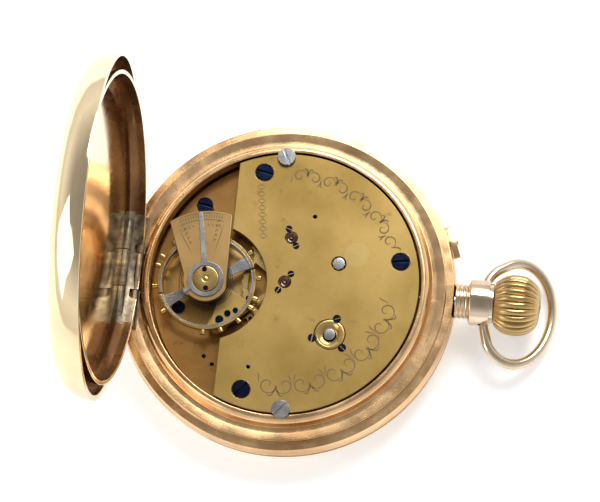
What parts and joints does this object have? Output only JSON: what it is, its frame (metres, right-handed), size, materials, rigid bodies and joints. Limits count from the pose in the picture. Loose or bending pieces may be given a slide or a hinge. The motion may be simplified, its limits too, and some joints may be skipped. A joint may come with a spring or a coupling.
{
  "type": "hunter pocket watch",
  "caption": "Hunter-case pocket watch resting on its front lid, back and dust covers standing open over a three-quarter-plate keyless movement.",
  "frame": {"origin": "centre of the flat outer face of the front lid, which the watch lies on", "axes": "+X out along the crown, +Z from the dial side towards the back of the movement, +Y towards six o'clock"},
  "size_m": [0.0704, 0.0516, 0.0569],
  "materials": {
    "case_gold": "polished rose-tinted yellow gold",
    "cover_gold": "mirror-polished pale gold",
    "plate_gilt": "matte fire-gilt brass",
    "pillar_gilt": "matte, browner gilt brass",
    "polished_brass": "polished",
    "polished_steel": "polished",
    "blued_steel": "heat-blued, polished",
    "hinge_solder": "dull grey solder",
    "ruby": "polished",
    "crystal_glass": "clear",
    "white_enamel": "glossy"
  },
  "bodies": {
    "case": {"case_middle": "case_gold", "pendant": "case_gold", "front_bezel": "case_gold", "crystal": "crystal_glass", "front_hinge_pin": "polished_steel", "back_hinge_pin": "hinge_solder", "inner_hinge_pin": "hinge_solder", "set_pin_guard": "case_gold", "lid_spring": "polished_steel", "pillar_plate": "pillar_gilt", "three_quarter_plate": "plate_gilt", "balance_cock": "plate_gilt", "escapement_bridge": "plate_gilt", "centre_jewel": "ruby", "third_jewel": "ruby", "barrel_arbor_sink": "polished_brass", "plate_screw_1": "blued_steel", "plate_screw_2": "blued_steel", "plate_screw_3": "blued_steel", "case_screw_1": "polished_steel", "case_screw_2": "polished_steel", "cock_screw": "blued_steel", "hairspring": "blued_steel", "cock_endcap": "polished_brass", "click_spring": "polished_steel", "dial": "white_enamel"},
    "front_lid": {"front_lid": "case_gold"},
    "back_cover": {"back_cover": "cover_gold"},
    "inner_cover": {"inner_cover": "cover_gold"},
    "bow": {"bow": "case_gold"},
    "stem_sleeve": {"stem_sleeve": "polished_steel"},
    "crown": {"crown": "case_gold", "winding_stem": "polished_steel"},
    "lock_spring": {"lock_spring": "polished_steel"},
    "winding_pinion": {"winding_pinion": "polished_steel"},
    "crown_wheel": {"crown_wheel": "polished_steel"},
    "ratchet": {"ratchet_wheel": "polished_steel", "barrel_arbor": "polished_steel"},
    "click": {"click": "polished_steel"},
    "set_pin": {"set_pin": "case_gold"},
    "set_lever": {"set_lever": "polished_steel"},
    "fourth_wheel": {"fourth_wheel": "polished_brass", "seconds_hand": "blued_steel"},
    "third_wheel": {"third_wheel": "polished_brass"},
    "centre_wheel": {"centre_wheel": "polished_brass", "driving_pinion": "polished_steel"},
    "barrel": {"barrel": "polished_brass", "barrel_cover": "polished_brass", "mainspring": "blued_steel"},
    "escape_wheel": {"escape_wheel": "polished_brass"},
    "pallet_fork": {"pallet_fork": "polished_steel"},
    "minute_wheel": {"minute_wheel": "polished_brass"},
    "cannon_pinion": {"cannon_pinion": "polished_steel", "minute_hand": "blued_steel"},
    "hour_wheel": {"hour_wheel": "polished_brass", "hour_hand": "blued_steel"},
    "balance": {"balance_wheel": "polished_brass", "balance_staff": "polished_steel"},
    "regulator": {"regulator_index": "polished_steel"}
  },
  "joints": [
    {"name": "front_lid_hinge", "type": "hinge", "parent": "case", "child": "front_lid", "pos_m": [-0.025, 0, 0.00345], "axis": [0, 1, 0], "range_deg": [0, 90]},
    {"name": "back_cover_hinge", "type": "hinge", "parent": "case", "child": "back_cover", "pos_m": [-0.0243, 0, 0.0073], "axis": [0, -1, 0], "range_deg": [-88.3, 6]},
    {"name": "inner_cover_hinge", "type": "hinge", "parent": "case", "child": "inner_cover", "pos_m": [-0.0226, 0, 0.00825], "axis": [0, -1, 0], "range_deg": [-91.9, 6.2]},
    {"name": "bow_swing", "type": "hinge", "parent": "case", "child": "bow", "pos_m": [0.03, 0, 0.006], "axis": [0, 1, 0], "range_deg": [-114, 66]},
    {"name": "crown_push", "type": "slide", "parent": "case", "child": "stem_sleeve", "axis": [-1, 0, 0], "range_m": [0, 0.0006], "stiffness_N_per_m": 2000},
    {"name": "crown_turn", "type": "hinge", "parent": "stem_sleeve", "child": "crown", "pos_m": [0.03, 0, 0.006], "axis": [1, 0, 0], "continuous": true},
    {"name": "lock_spring_flex", "type": "hinge", "parent": "case", "child": "lock_spring", "pos_m": [0.00959, -0.02057, 0.0061], "axis": [0, 0, 1], "range_deg": [0, 1.5]},
    {"name": "winding_pinion_spin", "type": "hinge", "parent": "case", "child": "winding_pinion", "pos_m": [0.0166, 0, 0.006], "axis": [1, 0, 0], "continuous": true},
    {"name": "crown_wheel_spin", "type": "hinge", "parent": "case", "child": "crown_wheel", "pos_m": [0.0136, -0.0022, 0.00475], "axis": [0, 0, 1], "continuous": true},
    {"name": "ratchet_spin", "type": "hinge", "parent": "case", "child": "ratchet", "pos_m": [0.0076, -0.0076, 0.00475], "axis": [0, 0, 1], "continuous": true},
    {"name": "click_pivot", "type": "hinge", "parent": "case", "child": "click", "pos_m": [0.01268, -0.01116, 0.00475], "axis": [0, 0, 1], "range_deg": [-8, 8]},
    {"name": "set_pin_push", "type": "slide", "parent": "case", "child": "set_pin", "axis": [-0.933, -0.36, 0], "range_m": [0, 0.0008], "stiffness_N_per_m": 800},
    {"name": "set_lever_pivot", "type": "hinge", "parent": "case", "child": "set_lever", "pos_m": [0.0146, 0.01, 0.00475], "axis": [0, 0, 1], "range_deg": [-10.5, 0]},
    {"name": "fourth_wheel_spin", "type": "hinge", "parent": "case", "child": "fourth_wheel", "pos_m": [0, 0, 0.006], "axis": [0, 0, 1], "continuous": true},
    {"name": "third_wheel_spin", "type": "hinge", "parent": "case", "child": "third_wheel", "pos_m": [0.0003, 0.007, 0.006], "axis": [0, 0, 1], "continuous": true},
    {"name": "centre_wheel_spin", "type": "hinge", "parent": "case", "child": "centre_wheel", "pos_m": [0.0079, 0.0035, 0.006], "axis": [0, 0, 1], "continuous": true},
    {"name": "barrel_spin", "type": "hinge", "parent": "case", "child": "barrel", "pos_m": [0.0076, -0.0076, 0.006], "axis": [0, 0, 1], "continuous": true},
    {"name": "escape_wheel_spin", "type": "hinge", "parent": "case", "child": "escape_wheel", "pos_m": [-0.0061, -0.004, 0.006], "axis": [0, 0, 1], "continuous": true},
    {"name": "pallet_fork_pivot", "type": "hinge", "parent": "case", "child": "pallet_fork", "pos_m": [-0.00862, -0.00261, 0.0072], "axis": [0, 0, 1], "range_deg": [-5, 5]},
    {"name": "minute_wheel_spin", "type": "hinge", "parent": "case", "child": "minute_wheel", "pos_m": [0.00278, 0.0044, 0.0048], "axis": [0, 0, 1], "continuous": true},
    {"name": "cannon_pinion_spin", "type": "hinge", "parent": "case", "child": "cannon_pinion", "pos_m": [0, 0, 0.0048], "axis": [0, 0, 1], "continuous": true},
    {"name": "hour_wheel_spin", "type": "hinge", "parent": "case", "child": "hour_wheel", "pos_m": [0, 0, 0.0046], "axis": [0, 0, 1], "continuous": true},
    {"name": "balance_swing", "type": "hinge", "parent": "case", "child": "balance", "pos_m": [-0.01178, -0.00088, 0.009], "axis": [0, 0, 1], "range_deg": [-180, 180], "stiffness_Nm_per_rad": 0.0000064},
    {"name": "regulator_turn", "type": "hinge", "parent": "case", "child": "regulator", "pos_m": [-0.01178, -0.00088, 0.01065], "axis": [0, 0, 1], "range_deg": [-20, 20]}
  ],
  "couplings": [
    {"joint": "inner_cover_hinge", "follows": "back_cover_hinge", "ratio": 1.0408},
    {"joint": "lock_spring_flex", "follows": "crown_push", "rad_per_m": 40.72},
    {"joint": "set_lever_pivot", "follows": "set_pin_push", "rad_per_m": -226.9},
    {"joint": "winding_pinion_spin", "follows": "crown_turn", "ratio": 1},
    {"joint": "crown_wheel_spin", "follows": "crown_turn", "ratio": 0.35294},
    {"joint": "ratchet_spin", "follows": "crown_turn", "ratio": -0.27273},
    {"joint": "third_wheel_spin", "follows": "fourth_wheel_spin", "ratio": -0.13333},
    {"joint": "centre_wheel_spin", "follows": "fourth_wheel_spin", "ratio": 0.016667},
    {"joint": "barrel_spin", "follows": "fourth_wheel_spin", "ratio": -0.0027778},
    {"joint": "escape_wheel_spin", "follows": "fourth_wheel_spin", "ratio": -10},
    {"joint": "minute_wheel_spin", "follows": "fourth_wheel_spin", "ratio": -0.0055556},
    {"joint": "cannon_pinion_spin", "follows": "fourth_wheel_spin", "ratio": 0.016667},
    {"joint": "hour_wheel_spin", "follows": "fourth_wheel_spin", "ratio": 0.0013889}
  ]
}
